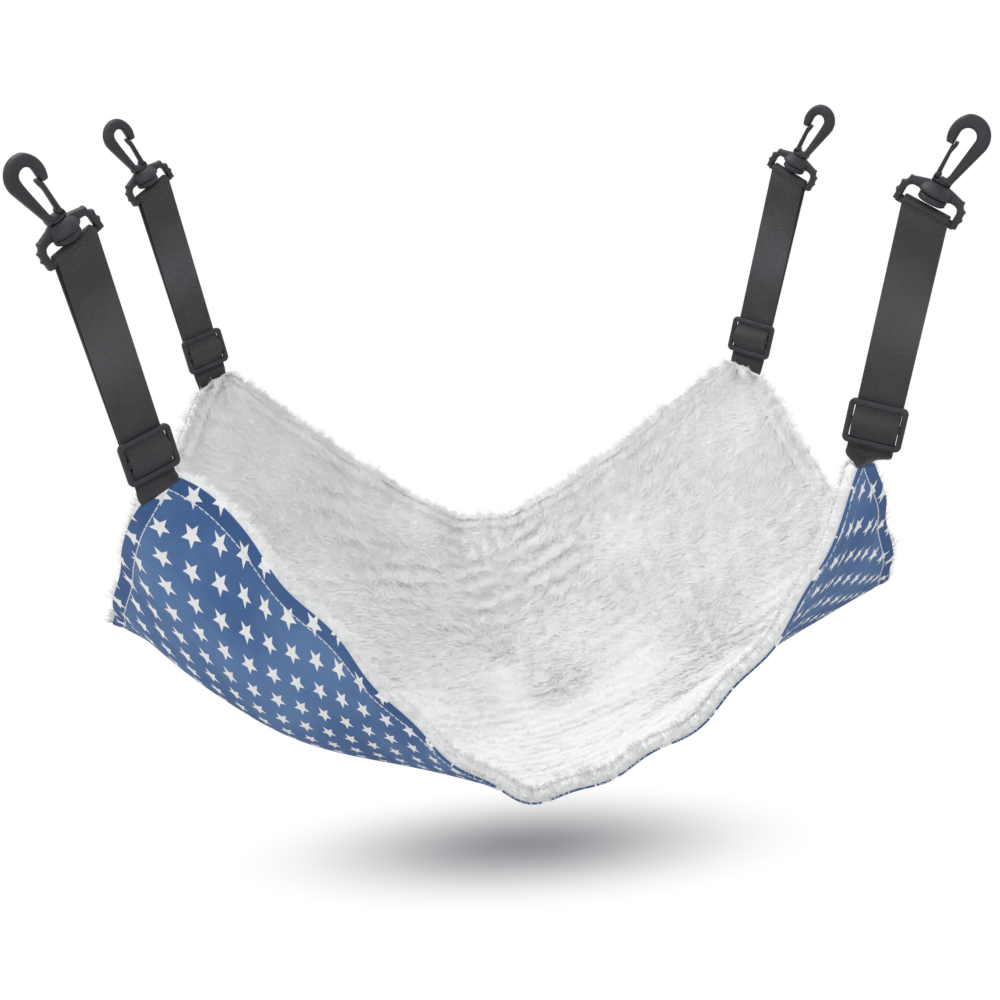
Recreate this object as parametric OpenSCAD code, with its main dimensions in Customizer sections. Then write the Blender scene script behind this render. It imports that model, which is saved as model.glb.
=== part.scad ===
// Cat hammock: a lined cloth hung by its four corners on adjustable straps with swivel snap hooks.
// Millimetres, +Z up. X runs along the cloth, Y from front to back, origin under the middle of the cloth.

/* [Cloth] */
// Length of the flat cloth, along X
cloth_l = 540; // [440:5:640]
// Width of the flat cloth, along Y
cloth_w = 430; // [350:5:520]
// Length that is cut off the front and back edges at each corner, where the strap is sewn
cut_x = 10.5; // [8:0.5:20]
// Length that is cut off the side edges at each corner
cut_y = 21; // [18:0.5:36]
// Thickness of the printed outer cloth
fabric_t = 1; // [0.6:0.1:2]
// Thickness of the plush lining and its pile
lining_t = 6; // [3:0.5:10]
// Gap between the two layers
layer_gap = 0.1; // [0.05:0.05:0.5]

/* [Hang] */
// How much longer the cloth is than the gap between its left and right corners
slack_x = 160; // [90:2:220]
// How much longer the cloth is than the gap between its front and back corners
slack_y = 114; // [60:2:160]
// Height of the corners over the belly
corner_h = 220; // [150:2:280]
// How much each corner hangs higher: front left, front right, back left, back right
corner_rises = [1, 0, 1, -8]; // [-15:0.5:15]
// Height of the front edge at its middle
front_h = 46; // [20:2:110]
// Height of the back edge at its middle
back_h = 80; // [20:2:110]
// Height of the side edges at their middle
side_h = 90; // [30:2:120]
// How far the side edges lean out at their middle
side_lean = 57; // [20:1:80]
// How far the front and back edges lean out at their middle
end_lean = 50; // [20:1:80]
// Depth of the pouch beside the front left corner
pouch_front = 40; // [0:1:60]
// Depth of the pouch beside each other corner
pouch = 6; // [0:1:20]
// Drop of the front edge beside its right corner, which folds the cloth along the diagonal
edge_drop = 26; // [0:1:50]
// Rise of the front edge beside its left corner
edge_rise = 12; // [0:1:30]
// Twist of each corner of the cloth about its strap, in degrees, in the same order
corner_twists = [-55, 0, 8, 8]; // [-60:1:60]
// Distance from the corner at which the twist has mostly died out
twist_reach = 42; // [20:1:80]

/* [Strap] */
// Width of the webbing
webbing_w = 25; // [18:0.5:30]
// Thickness of the webbing
webbing_t = 1.4; // [1:0.1:2]
// Length from the strap's fold at the cloth to the ring's bar
strap_l = 132; // [90:1:200]
// Length of webbing between the seam and that fold
tab_l = 9; // [8:0.5:14]
// Lean of each strap to its side, in degrees, in the same order
strap_leans = [10.5, 9, 11, 10.5]; // [0:0.5:30]
// Lean of each strap into the hammock, in degrees
strap_tips = [-12, -7, -7, -6]; // [-20:1:20]
// Turn of each strap about its own length, which brings its outer edge forward, in degrees
strap_turns = [36, 24, 36, 36]; // [-30:1:40]
// Gap between the seam and the webbing that shows
sew_gap = 0.5; // [0.3:0.1:0.8]

/* [Slider] */
// Height of the slider's frame
slider_h = 25; // [20:0.2:28]
// Thickness of the slider's bars
slider_t = 3.2; // [2:0.2:4]
// Height of the top and bottom bars
outer_bar = 3.4; // [2.4:0.2:5]
// Height of the centre bar
centre_bar = 4.4; // [3:0.2:5]
// Width of the frame's sides
slider_side = 3.2; // [2.4:0.1:5]
// Radius of the frame's corners
slider_r = 3.4; // [1:0.2:4]
// Gap between the strap's fold and the slider
slider_gap = 3; // [3:0.2:12]

/* [Ring] */
// Radius of the bar in the strap's loop
bar_r = 2.2; // [1.6:0.1:3]
// Thickness of the ring's frame
ring_t = 5.4; // [4.6:0.2:7]
// Width of the ring's legs
leg_w = 3.8; // [3:0.2:6]
// Height of the window over the bar's middle
window_h = 9.4; // [9:0.2:14]
// Height of the top that the hook turns in
ring_top = 6.6; // [4:0.2:8]
// Radius of the boss around the stem, at its foot
boss_r = 9.6; // [6:0.2:12]
// Radius of the boss at its top
boss_top = 6; // [4.8:0.2:7]
// Radius of the small grips on the ring's shoulders
grip_r = 1.7; // [1:0.1:2.4]
// Lean of the ring and hook against the strap, in degrees
hook_lean = 17; // [0:1:24]

/* [Hook] */
// Radius of the stem in the ring
stem_r = 3; // [2.2:0.1:3.6]
// Radius of the stem's head
head_r = 7.6; // [4.4:0.1:9]
// Height of the stem's head
head_h = 4.4; // [3:0.1:5]
// Slant on the edges of the stem's head
head_edge = 0.8; // [0.2:0.1:1.2]
// Radius of the collar where the stem meets the hook
collar_r = 4.5; // [3.6:0.1:5]
// Height of that collar
collar_h = 1.2; // [0.6:0.1:2]
// Thickness of the hook
hook_t = 6.4; // [5:0.2:9]
// Radius of the seat at the top of the eye
eye_r = 4.4; // [4:0.1:6.5]
// Wall of the hook around the seat
crown_wall = 7; // [4:0.2:8]
// Length of the eye from its foot to the middle of the seat
eye_l = 21.2; // [16:0.2:30]
// Radius of the eye at its foot
foot_r = 1.8; // [1.4:0.1:2.4]
// Height of the block under the eye
base_h = 3.2; // [2.8:0.2:12]
// Width of the block under the eye
base_w = 10.5; // [10:0.5:13]
// Length of the nose below the middle of the seat
nose_l = 6.4; // [5:0.2:8]
// Thickness of the nose at its end
nose_w = 4; // [3:0.2:6]
// Thickness of the gate
gate_t = 2; // [1.4:0.1:2.6]
// Width of the gate across the hook
gate_w = 5; // [4:0.2:6]
// Radius of the gate's root
root_r = 1.6; // [1.2:0.1:2]

/* [Clearances] */
// Gap between the webbing and the bars it passes
wrap_gap = 0.1; // [0.05:0.05:0.3]
// Gap between the webbing and the sides of the slider's slots
side_gap = 0.4; // [0.3:0.1:1]
// Gap between the webbing and the ring's legs
leg_gap = 1.3; // [1:0.1:2]
// Gap between turning faces of the ring and the hook
turn_gap = 0.3; // [0.2:0.1:0.6]
// Gap between the stem and its bore, on the radius
stem_gap = 0.06; // [0.03:0.01:0.1]
// Gap around the gate
gate_gap = 0.2; // [0.15:0.05:0.4]

/* [Hidden] */
$fn = 64;

// The corners in the order front left, front right, back left, back right
CORNERS = ["fl", "fr", "bl", "br"];
SIDE_X = [-1, 1, -1, 1];
SIDE_Y = [-1, -1, 1, 1];
pouch_of = [pouch_front, pouch, pouch, pouch];
drop_of = [-edge_rise, edge_drop, 0, 0];

half_l = cloth_l / 2;
half_w = cloth_w / 2;
corner_x = (cloth_l - slack_x) / 2;
corner_y = (cloth_w - slack_y) / 2;

// Shape of the drape, without units: roundness of the belly, and the powers of its leans and folds
belly_round = 0.3;
lean_power = 1.7;
pouch_power_x = 1.7;
pouch_power_y = 1.3;
drop_power_x = 1.6;
drop_power_y = 3;
drop_out = 0.28;

// Panels of the cloth's grid along X and Y
grid_x = 26;
grid_y = 21;

// Heights and places along the strap, in its own frame
fold_z = tab_l;
slider_z = fold_z + slider_gap + slider_h / 2;
bar_z = fold_z + strap_l;
bar_y = webbing_t / 2 + wrap_gap + bar_r;
slider_back = webbing_t / 2 + wrap_gap;
slot_h = (slider_h - 2 * outer_bar - centre_bar) / 2;
slot_w = webbing_w + 2 * side_gap;
slider_w = slot_w + 2 * slider_side;
loop_w = webbing_w / cos(hook_lean);
loop_out = bar_r + wrap_gap + webbing_t;
slant = tan(hook_lean) * webbing_w / 2;

// Places in the ring's frame, whose origin is the middle of its bar and whose Z points to the hook
ring_in = loop_w / 2 + leg_gap;
ring_out = ring_in + leg_w;
ring_top_z = window_h + ring_top;
crest_z = window_h + leg_w;
head_z = window_h - turn_gap - head_h;
base_z = ring_top_z + turn_gap;
foot_z = base_z + base_h + foot_r;
seat_z = foot_z + eye_l;
crown_r = eye_r + crown_wall;
root_x = base_w / 2 - root_r - gate_gap;
root_z = base_z + base_h;
collar_z = base_z + min(collar_h, base_h - root_r - gate_gap);
nose_z = seat_z - nose_l;
// the circle that thins the nose has its middle this far on the spine's side
nose_in = crown_r / 4;
nose_r = norm([eye_r + nose_w + nose_in, nose_l]);

// Height that rises from 0 at the middle to 1 at the edge, rounded at the middle
function rounded(t) = (sqrt(t * t + belly_round * belly_round) - belly_round)
    / (sqrt(1 + belly_round * belly_round) - belly_round);

// Number of the corner that a flat point belongs to
function quarter(x, y) = (x > 0 ? 1 : 0) + (y > 0 ? 2 : 0);

// Place of a point of the flat cloth when it hangs, before its corners are twisted
function hang(x, y) =
    let (u = x / half_l, v = y / half_w, a = abs(u), b = abs(v), k = quarter(x, y))
    let (end_h = y < 0 ? front_h : back_h, up_u = rounded(u), up_v = rounded(v))
    let (top_h = corner_h + corner_rises[k] - side_h - end_h)
    let (drop = drop_of[k] * sin(180 * pow(a, drop_power_x)) * pow(b, drop_power_y))
    let (sink = pouch_of[k] * sin(180 * pow(a, pouch_power_x)) * sin(180 * pow(b, pouch_power_y)))
    [u * (corner_x + side_lean * (1 - pow(b, lean_power))) + sign(u) * drop_out * drop,
     v * (corner_y + end_lean * (1 - pow(a, lean_power))) + sign(v) * drop_out * drop,
     fabric_t + side_h * up_u + end_h * up_v + top_h * up_u * up_v - drop - sink];

// Middle of a corner's cut edge, where its strap is sewn
function seam(k) = hang(SIDE_X[k] * (half_l - cut_x / 2), SIDE_Y[k] * (half_w - cut_y / 2));

// Direction of a strap, from the seam to its ring
function strap_way(k) = [SIDE_X[k] * sin(strap_leans[k]) * cos(strap_tips[k]), sin(strap_tips[k]),
    cos(strap_leans[k]) * cos(strap_tips[k])];

// A vector turned about an axis of length 1
function turned(p, axis, t) = p * cos(t) + cross(axis, p) * sin(t) + axis * (axis * p) * (1 - cos(t));

// Place of a point of the flat cloth, on the seam face between its layers, with the corners twisted
function drape(x, y) =
    let (k = quarter(x, y), far = norm([half_l - abs(x), half_w - abs(y)]))
    let (twist = SIDE_X[k] * corner_twists[k] * exp(-pow(far / twist_reach, 2)))
    seam(k) + turned(hang(x, y) - seam(k), strap_way(k), twist);

function unit(p) = p / norm(p);

// Upward normal of the hanging cloth at a flat point, from two short steps
function cloth_normal(x, y) =
    unit(cross(drape(x + 1, y) - drape(x - 1, y), drape(x, y + 1) - drape(x, y - 1)));

// Lines of the grid: one at each edge, one at each corner cut and even panels between
function grid_lines(half, n, cut) = concat([-half],
    [for (i = [0 : n - 2]) -half + cut + i * (2 * half - 2 * cut) / (n - 2)], [half]);

// A flat grid point, with the four corner points moved onto the middle of their cuts
function flat_point(x, y) = abs(x) == half_l && abs(y) == half_w
    ? [x - sign(x) * cut_x / 2, y - sign(y) * cut_y / 2]
    : [x, y];

// One layer of cloth between two distances from the seam face, as a closed sheet
module sheet(low, high) {
    xs = grid_lines(half_l, grid_x, cut_x);
    ys = grid_lines(half_w, grid_y, cut_y);
    cols = grid_x + 1;
    count = cols * (grid_y + 1);
    flat = [for (y = ys) for (x = xs) flat_point(x, y)];
    face = [for (p = flat) drape(p.x, p.y)];
    up = [for (p = flat) cloth_normal(p.x, p.y)];
    rim = concat([for (i = [0 : grid_x - 1]) i],
        [for (j = [0 : grid_y - 1]) j * cols + grid_x],
        [for (i = [0 : grid_x - 1]) count - 1 - i],
        [for (j = [0 : grid_y - 1]) (grid_y - j) * cols]);
    // each panel is split along the diagonal that points at the middle of the cloth
    panels = [for (j = [0 : grid_y - 1]) for (i = [0 : grid_x - 1])
        let (p = j * cols + i, rising = (i < grid_x / 2) == (j < grid_y / 2))
        each rising
            ? [[p, p + cols + 1, p + 1], [p, p + cols, p + cols + 1]]
            : [[p, p + cols, p + 1], [p + 1, p + cols, p + cols + 1]]];
    walls = [for (i = [0 : len(rim) - 1])
        let (p = rim[i], q = rim[(i + 1) % len(rim)])
        each [[p, p + count, q], [q, p + count, q + count]]];
    polyhedron(
        points = concat([for (i = [0 : count - 1]) face[i] + low * up[i]],
            [for (i = [0 : count - 1]) face[i] + high * up[i]]),
        faces = concat([for (t = panels) [t[2], t[1], t[0]]],
            [for (t = panels) t + [count, count, count]], walls));
}

// Frame of a strap: origin at the seam, X across the webbing, Z along it, -Y to the front
module at_corner(k) {
    translate(seam(k))
        mirror([SIDE_X[k] < 0 ? 1 : 0, 0, 0])
        rotate([0, strap_leans[k], 0])
        rotate([-strap_tips[k], 0, 0])
        rotate([0, 0, -strap_turns[k]])
        children();
}

// Frame of a ring and its hook: origin at the middle of the bar, X along the bar, Z to the hook
module at_ring(k) {
    at_corner(k)
        translate([0, bar_y, bar_z])
        rotate([0, hook_lean, 0])
        children();
}

// A vector turned about X, Y or Z
function about_x(p, t) = [p.x, p.y * cos(t) - p.z * sin(t), p.y * sin(t) + p.z * cos(t)];
function about_y(p, t) = [p.x * cos(t) + p.z * sin(t), p.y, p.z * cos(t) - p.x * sin(t)];
function about_z(p, t) = [p.x * cos(t) - p.y * sin(t), p.x * sin(t) + p.y * cos(t), p.z];

// A direction of the hammock's frame, seen from a strap's frame
function in_strap(k, d) =
    let (m = [SIDE_X[k] * d.x, d.y, d.z])
    about_z(about_x(about_y(m, -strap_leans[k]), strap_tips[k]), strap_turns[k]);

// Draws a flat outline in X and Z with a thickness across Y
module plate(thickness) {
    rotate([90, 0, 0])
        linear_extrude(thickness, center = true)
        children();
}

// Draws a flat outline in Y and Z with a width across X
module across(width) {
    rotate([90, 0, 90])
        linear_extrude(width, center = true)
        children();
}

// Point where the line from a point touches a circle, on the circle's right-hand side
function touch(p, middle, r) =
    let (d = middle - p, far = norm(d), turn = atan2(d.y, d.x) - asin(r / far))
    p + sqrt(far * far - r * r) * [cos(turn), sin(turn)];

module outer_fabric() {
    color("#3d5f9f") sheet(-fabric_t, 0);
}

module plush_lining() {
    color("#e8e8e6") sheet(layer_gap, lining_t);
}

// The short twisted length between the cut corner and the strap's fold
module strap_tab(k) {
    near = half_l - cut_x;
    side = half_w - cut_y;
    cut = [[near, half_w], [half_l - cut_x / 2, half_w - cut_y / 2], [half_l, side]];
    out = sew_gap * unit(seam(k) - drape(SIDE_X[k] * near, SIDE_Y[k] * side));
    ends_at = [for (c = [cut[0], cut[2]]) drape(SIDE_X[k] * c.x, SIDE_Y[k] * c.y)];
    share = webbing_w / norm(ends_at[1] - ends_at[0]);
    high = fold_z - webbing_t / 2 - sew_gap;
    steps = 4;
    // three points across the webbing at the seam and at the fold, with the cloth's normal there, to the back
    foot = [for (c = cut) in_strap(k, share * (drape(SIDE_X[k] * c.x, SIDE_Y[k] * c.y) - seam(k)) + out)];
    foot_back = [for (c = cut) -SIDE_Y[k] * in_strap(k, cloth_normal(SIDE_X[k] * c.x, SIDE_Y[k] * c.y))];
    order = [[0, -1], [1, -1], [2, -1], [2, 1], [1, 1], [0, 1]];
    n = len(order);
    rings = [for (i = [0 : steps]) for (q = order)
        let (f = i / steps, head = [(q[0] - 1) * webbing_w / 2, 0, high])
        foot[q[0]] + f * (head - foot[q[0]])
            + q[1] * webbing_t / 2 * unit(foot_back[q[0]] + f * ([0, 1, 0] - foot_back[q[0]]))];
    sides = [for (i = [0 : steps - 1]) for (q = [0 : n - 1])
        let (p = n * i + q, r = n * i + (q + 1) % n)
        each [[p, p + n, r], [r, p + n, r + n]]];
    ends = [[0, 1, 4], [0, 4, 5], [1, 2, 3], [1, 3, 4]];
    last = n * steps;
    color("#2b2d30")
        at_corner(k)
        polyhedron(points = rings,
            faces = concat(sides, ends, [for (t = ends) [last + t[2], last + t[1], last + t[0]]]));
}

// The layer from the fold to the ring, straight behind the slider, with a round end to swing on
module strap_front(k) {
    color("#2b2d30")
        at_corner(k) {
            plate(webbing_t)
                polygon([[-webbing_w / 2, fold_z], [webbing_w / 2, fold_z],
                    [webbing_w / 2, bar_z - slant - wrap_gap], [-webbing_w / 2, bar_z + slant - wrap_gap]]);
            translate([0, 0, fold_z])
                rotate([0, 90, 0])
                cylinder(h = webbing_w, d = webbing_t, center = true);
        }
}

// The half turn over the ring's bar
module strap_loop(k) {
    color("#2b2d30")
        at_ring(k)
        across(loop_w)
        difference() {
            circle(r = loop_out);
            circle(r = loop_out - webbing_t);
            translate([-2 * loop_out, -4 * loop_out])
                square(4 * loop_out);
        }
}

// The layer that comes back down from the ring and is sewn at the slider
module strap_return(k) {
    low_y = webbing_t + wrap_gap;
    high_y = 2 * bar_y;
    rise = bar_z - slant - slider_z;
    tilt = atan((high_y - low_y) / rise);
    color("#2b2d30")
        at_corner(k)
        translate([0, low_y, slider_z])
        rotate([-tilt, 0, 0])
        plate(webbing_t)
        polygon([[-webbing_w / 2, 0], [webbing_w / 2, 0],
            [webbing_w / 2, rise - wrap_gap], [-webbing_w / 2, rise + 2 * slant - wrap_gap]]);
}

// The part of the strap that shows in the slider's window: a hump over its centre bar
module strap_weave(k) {
    reach = slot_h + centre_bar / 2 - wrap_gap;
    low_y = slider_back + webbing_t / 2;
    share = 0.5 + 0.5 * cos(180 * centre_bar / 2 / reach);
    hump = (slider_back + slider_t + wrap_gap + webbing_t / 2 - low_y) / share;
    steps = 24;
    line = [for (i = [0 : steps])
        let (z = reach * (2 * i / steps - 1))
        [-low_y - hump * (0.5 + 0.5 * cos(180 * z / reach)), z]];
    color("#2b2d30")
        at_corner(k)
        translate([0, 0, slider_z])
        across(webbing_w)
        polygon(concat([for (i = [0 : steps]) line[i] - [webbing_t / 2, 0]],
            [for (i = [steps : -1 : 0]) line[i] + [webbing_t / 2, 0]]));
}

// The three-bar adjuster: a rounded frame with two slots
module slider(k) {
    color("#1d1e20")
        at_corner(k)
        translate([0, -slider_back - slider_t / 2, slider_z])
        plate(slider_t)
        difference() {
            union() {
                square([slider_w - 2 * slider_r, slider_h], center = true);
                square([slider_w, slider_h - 2 * slider_r], center = true);
                for (x = [-1, 1], y = [-1, 1])
                    translate([x * (slider_w / 2 - slider_r), y * (slider_h / 2 - slider_r)])
                        circle(r = slider_r);
            }
            for (y = [-1, 1])
                translate([0, y * (centre_bar + slot_h) / 2])
                    square([slot_w, slot_h], center = true);
        }
}

// The D-shaped base: two legs, the bar for the strap, and the top that the hook turns in
module ring(k) {
    shoulder = window_h - leg_w / 2;
    end_r = leg_w / 2;
    color("#1d1e20")
        at_ring(k)
        difference() {
            union() {
                plate(ring_t)
                    polygon([[-ring_out, 0], [-ring_in, 0], [-ring_in, shoulder],
                        [-ring_in + leg_w / 2, window_h], [ring_in - leg_w / 2, window_h],
                        [ring_in, shoulder], [ring_in, 0], [ring_out, 0], [ring_out, shoulder],
                        [ring_in, crest_z], [boss_top, ring_top_z], [-boss_top, ring_top_z],
                        [-ring_in, crest_z], [-ring_out, shoulder]]);
                for (x = [-1, 1]) {
                    translate([x * (ring_in + end_r), 0, 0])
                        rotate([90, 0, 0])
                        cylinder(r = end_r, h = ring_t, center = true);
                    translate([x * ring_in, 0, crest_z])
                        rotate([90, 0, 0])
                        cylinder(r = grip_r, h = ring_t, center = true);
                }
                rotate([0, 90, 0])
                    cylinder(r = bar_r, h = 2 * ring_in + leg_w, center = true);
                translate([0, 0, window_h])
                    cylinder(r1 = boss_r, r2 = boss_top, h = ring_top);
            }
            translate([0, 0, window_h - turn_gap])
                cylinder(r = stem_r + stem_gap, h = ring_top + 2 * turn_gap);
        }
}

// Outline of the hook: round crown, spine on the outer side, thinner nose on the inner side
module hook_outline() {
    spine_foot = [base_w / 2, root_z];
    difference() {
        union() {
            intersection() {
                translate([0, seat_z])
                    circle(r = crown_r);
                translate([nose_in, seat_z])
                    circle(r = nose_r);
            }
            polygon([[-base_w / 2, base_z], [base_w / 2, base_z], spine_foot,
                touch(spine_foot, [0, seat_z], crown_r), [0, seat_z], [-base_w / 2, root_z]]);
        }
        translate([0, seat_z])
            circle(r = eye_r);
        translate([0, foot_z])
            circle(r = foot_r);
        polygon([[-foot_r, foot_z], [foot_r, foot_z], [eye_r, seat_z], [-eye_r, seat_z]]);
        // the way in, which the gate closes
        polygon([[0, seat_z], [-eye_r, seat_z], [-eye_r, nose_z], [-2 * crown_r, nose_z + nose_l / 3],
            [-2 * crown_r, root_z], [-root_x, root_z], [0, foot_z]]);
        translate([-root_x, root_z])
            circle(r = root_r + gate_gap);
    }
}

// The hook with its stem and the head that holds it in the ring
module hook(k) {
    color("#1d1e20")
        at_ring(k) {
            plate(hook_t)
                hook_outline();
            rotate_extrude()
                polygon([[0, head_z], [head_r - head_edge, head_z], [head_r, head_z + head_edge],
                    [head_r, head_z + head_h - head_edge], [head_r - head_edge, head_z + head_h],
                    [stem_r, head_z + head_h], [stem_r, base_z], [collar_r, base_z],
                    [collar_r, collar_z], [0, collar_z]]);
        }
}

// The springy tongue that closes the eye from inside the nose
module gate(k) {
    tip_x = -eye_r + gate_gap;
    tip_z = nose_z + nose_l / 3;
    neck_z = nose_z - gate_gap;
    color("#1d1e20")
        at_ring(k)
        plate(gate_w) {
            translate([-root_x, root_z])
                circle(r = root_r);
            polygon([[-root_x - root_r, root_z], [-root_x + root_r / 2, root_z],
                [tip_x + gate_t / 2, neck_z - 2 * gate_t], [tip_x + gate_t, neck_z], [tip_x + gate_t, tip_z],
                [tip_x, tip_z], [tip_x, neck_z], [tip_x - gate_t / 2, neck_z - gate_gap]]);
        }
}

outer_fabric();
plush_lining();
for (k = [0 : 3]) {
    strap_tab(k);
    strap_front(k);
    strap_loop(k);
    strap_return(k);
    strap_weave(k);
    slider(k);
    ring(k);
    hook(k);
    gate(k);
}
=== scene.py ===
import math

import bpy
import numpy as np
from mathutils import Matrix


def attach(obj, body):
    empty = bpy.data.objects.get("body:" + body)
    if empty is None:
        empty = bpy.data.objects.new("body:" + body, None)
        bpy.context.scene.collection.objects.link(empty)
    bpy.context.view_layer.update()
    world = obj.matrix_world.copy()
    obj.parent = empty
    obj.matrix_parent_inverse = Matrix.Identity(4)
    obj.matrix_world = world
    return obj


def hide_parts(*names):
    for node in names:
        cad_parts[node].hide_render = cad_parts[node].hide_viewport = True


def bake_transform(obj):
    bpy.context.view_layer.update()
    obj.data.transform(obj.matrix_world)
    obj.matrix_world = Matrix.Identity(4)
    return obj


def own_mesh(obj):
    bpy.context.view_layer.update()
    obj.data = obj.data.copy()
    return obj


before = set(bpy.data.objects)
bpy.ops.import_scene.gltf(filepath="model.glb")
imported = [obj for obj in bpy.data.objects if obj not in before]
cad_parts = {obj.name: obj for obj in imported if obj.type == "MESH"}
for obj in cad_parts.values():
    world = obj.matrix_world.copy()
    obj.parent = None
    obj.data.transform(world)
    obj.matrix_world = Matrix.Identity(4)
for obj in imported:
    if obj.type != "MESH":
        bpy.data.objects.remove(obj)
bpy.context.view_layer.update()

print("frame loaded:", len(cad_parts), "nodes")

# sizes are in millimetres here and become metres when a mesh is made
mm = 0.001
corners = ["fl", "fr", "bl", "br"]
sideX = np.array([-1, 1, -1, 1])
sideY = np.array([-1, -1, 1, 1])

cloth = {
    "length": 540, "width": 430, "cutX": 10.5, "cutY": 21,
    "fabricThick": 1.0, "liningThick": 5.0, "layerGap": 0.1,
    "gapX": 380, "gapY": 316, "cornerHeight": 220, "cornerRises": (1, 0, 1, -8),
    "frontHeight": 46, "backHeight": 80, "sideHeight": 90, "sideLean": 57, "endLean": 50,
    "pouches": (40, 6, 6, 6), "drops": (-12, 26, 0, 0),
    "bellyRound": 0.3, "leanPower": 1.7, "pouchPowerX": 1.7, "pouchPowerY": 1.3,
    "dropPowerX": 1.6, "dropPowerY": 3, "dropOut": 0.28,
    "twists": (-55, 0, 8, 8), "twistReach": 42,
    "rippleDepth": 1.5, "rippleReach": 26, "calmReach": 60,
    "endWaves": ((9.5, 1.3, 1), (17, 2.1, 0.6)),  # length, phase and size of each wave
    "sideWaves": ((11, 0.7, 1), (19, 1.7, 0.6)),
    "pleats": 11, "pleatDepth": 0.9, "pleatRise": 30, "pleatReach": 60, "seamDepth": 0.7, "seamWidth": 2.0,
    "rollHeight": 1.5, "rollReach": 8, "rollInset": 3, "bulge": 0.3,
    "step": 4.0, "edgeStep": 1.7, "edgeBand": 20,
}
thread = {"inset": 6.8, "stitch": 3.4, "gap": 0.15, "radius": 0.4, "sink": 0.12, "sides": 6}
strap = {
    "width": 25, "thick": 1.4, "tab": 9, "length": 132,
    "leans": (10.5, 9, 11, 10.5), "tips": (-12, -7, -7, -6), "turns": (36, 24, 36, 36),
    "sewGap": 0.5, "wrapGap": 0.1, "letOut": 75,
}

halfLength, halfWidth = cloth["length"] / 2, cloth["width"] / 2
cutStartX, cutStartY = halfLength - cloth["cutX"], halfWidth - cloth["cutY"]
flatStep = 0.8  # a short step on the flat cloth, for slopes


# Each vector divided by its length
def unit(vectors):
    return vectors / np.linalg.norm(vectors, axis=-1, keepdims=True)


# Turning matrix about one axis: the other two axes turn by the angle in degrees
def turned(axis, degrees):
    return np.array(Matrix.Rotation(math.radians(degrees), 3, axis))


# Puts an object in the scene: its axes are the columns of its turn, and its origin is at a place
def putInScene(holder, turn, place):
    holder.matrix_world = Matrix(np.block([[turn, np.array([place]).T], [np.eye(4)[3:]]]).tolist())
    bpy.context.scene.collection.objects.link(holder)


camera = {
    "place": (-0.065, -1.016, 0.435),
    "yaw": 3.67, "pitch": 15.35, "roll": -1.91,
    "lens": 59.76, "sensor": 36.0, "clipFrom": 0.02, "clipTo": 60,
}


# Camera that looks along Y: it is rolled about its own axis, then pitched down, then yawed
def makeCamera():
    data = bpy.data.cameras.new("photoCamera")
    data.lens, data.sensor_width = camera["lens"], camera["sensor"]
    data.clip_start, data.clip_end = camera["clipFrom"], camera["clipTo"]
    holder = bpy.data.objects.new("photoCamera", data)
    turn = turned("Z", -camera["yaw"]) @ turned("X", 90 - camera["pitch"]) @ turned("Z", camera["roll"])
    putInScene(holder, turn, camera["place"])
    bpy.context.scene.camera = holder


makeCamera()
print("camera set")


# One number of a node tree: an operator on it adds a Math node
class Number:
    def __init__(self, finish, socket):
        self.finish, self.socket = finish, socket

    # one Math node: some operations need no other number, and swap puts the other number first
    def maths(self, operation, other=0.0, swap=False):
        pair = {0: other, 1: self} if swap else {0: self, 1: other}
        return self.finish.node("Math", pair, operation=operation)

    def __add__(self, other):
        return self.maths("ADD", other)

    def __sub__(self, other):
        return self.maths("SUBTRACT", other)

    def __mul__(self, other):
        return self.maths("MULTIPLY", other)

    def __truediv__(self, other):
        return self.maths("DIVIDE", other)

    def __pow__(self, other):
        return self.maths("POWER", other)

    def __mod__(self, other):
        return self.maths("FLOORED_MODULO", other)

    def __rsub__(self, other):
        return self.maths("SUBTRACT", other, True)

    def __rtruediv__(self, other):
        return self.maths("DIVIDE", other, True)

    __radd__, __rmul__ = __add__, __mul__

    # 0 below low, 1 above high and a smooth rise between
    def ramp(self, low, high):
        values = {"Value": self, "From Min": low, "From Max": high}
        return self.finish.node("MapRange", values, interpolation_type="SMOOTHSTEP")


# One material, or the world, and its nodes
class Finish:
    def __init__(self, name, kind="materials"):
        self.owner = getattr(bpy.data, kind).new(name)
        self.owner.use_nodes = True
        self.tree = self.owner.node_tree
        self.tree.nodes.clear()

    # adds a node: its settings first, then its sockets' values or links
    def node(self, kind, values={}, out=0, **settings):
        made = self.tree.nodes.new("ShaderNode" + kind)
        for key, value in settings.items():
            setattr(made, key, value)
        for key, value in values.items():
            if isinstance(value, Number):
                self.tree.links.new(value.socket, made.inputs[key])
            else:
                made.inputs[key].default_value = value
        return Number(self, made.outputs[out]) if made.outputs else None

    # colour from low to high as the factor goes from 0 to 1
    def blend(self, factor, low, high):
        return self.node("Mix", {0: factor, 6: low, 7: high}, 2, data_type="RGBA")

    def noise(self, place, scale, detail, rough=0.55):
        return self.node("TexNoise", {"Vector": place, "Scale": scale, "Detail": detail, "Roughness": rough})

    # X and Y of a vector
    def parts(self, vector):
        return [self.node("SeparateXYZ", {0: vector}, i) for i in range(2)]

    # place on the flat cloth or along the webbing
    def uv(self):
        return self.node("UVMap", uv_map="flat")

    # place in the piece's own frame
    def place(self):
        return self.node("TexCoord", out=3)

    def bump(self, height, distance):
        return self.node("Bump", {"Height": height, "Distance": distance, "Strength": 1.0})

    # the surface shader with its constants, and links where a value varies
    def surface(self, values):
        shader = self.node("BsdfPrincipled", values)
        self.node("OutputMaterial", {0: shader})
        return self.owner


# Colour written as in a picture, turned into the light it stands for
def colour(red, green, blue):
    share = np.array([red, green, blue]) / 255
    light = np.where(share <= 0.04045, share / 12.92, ((share + 0.055) / 1.055) ** 2.4)
    return (*(float(c) for c in light), 1.0)


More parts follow.
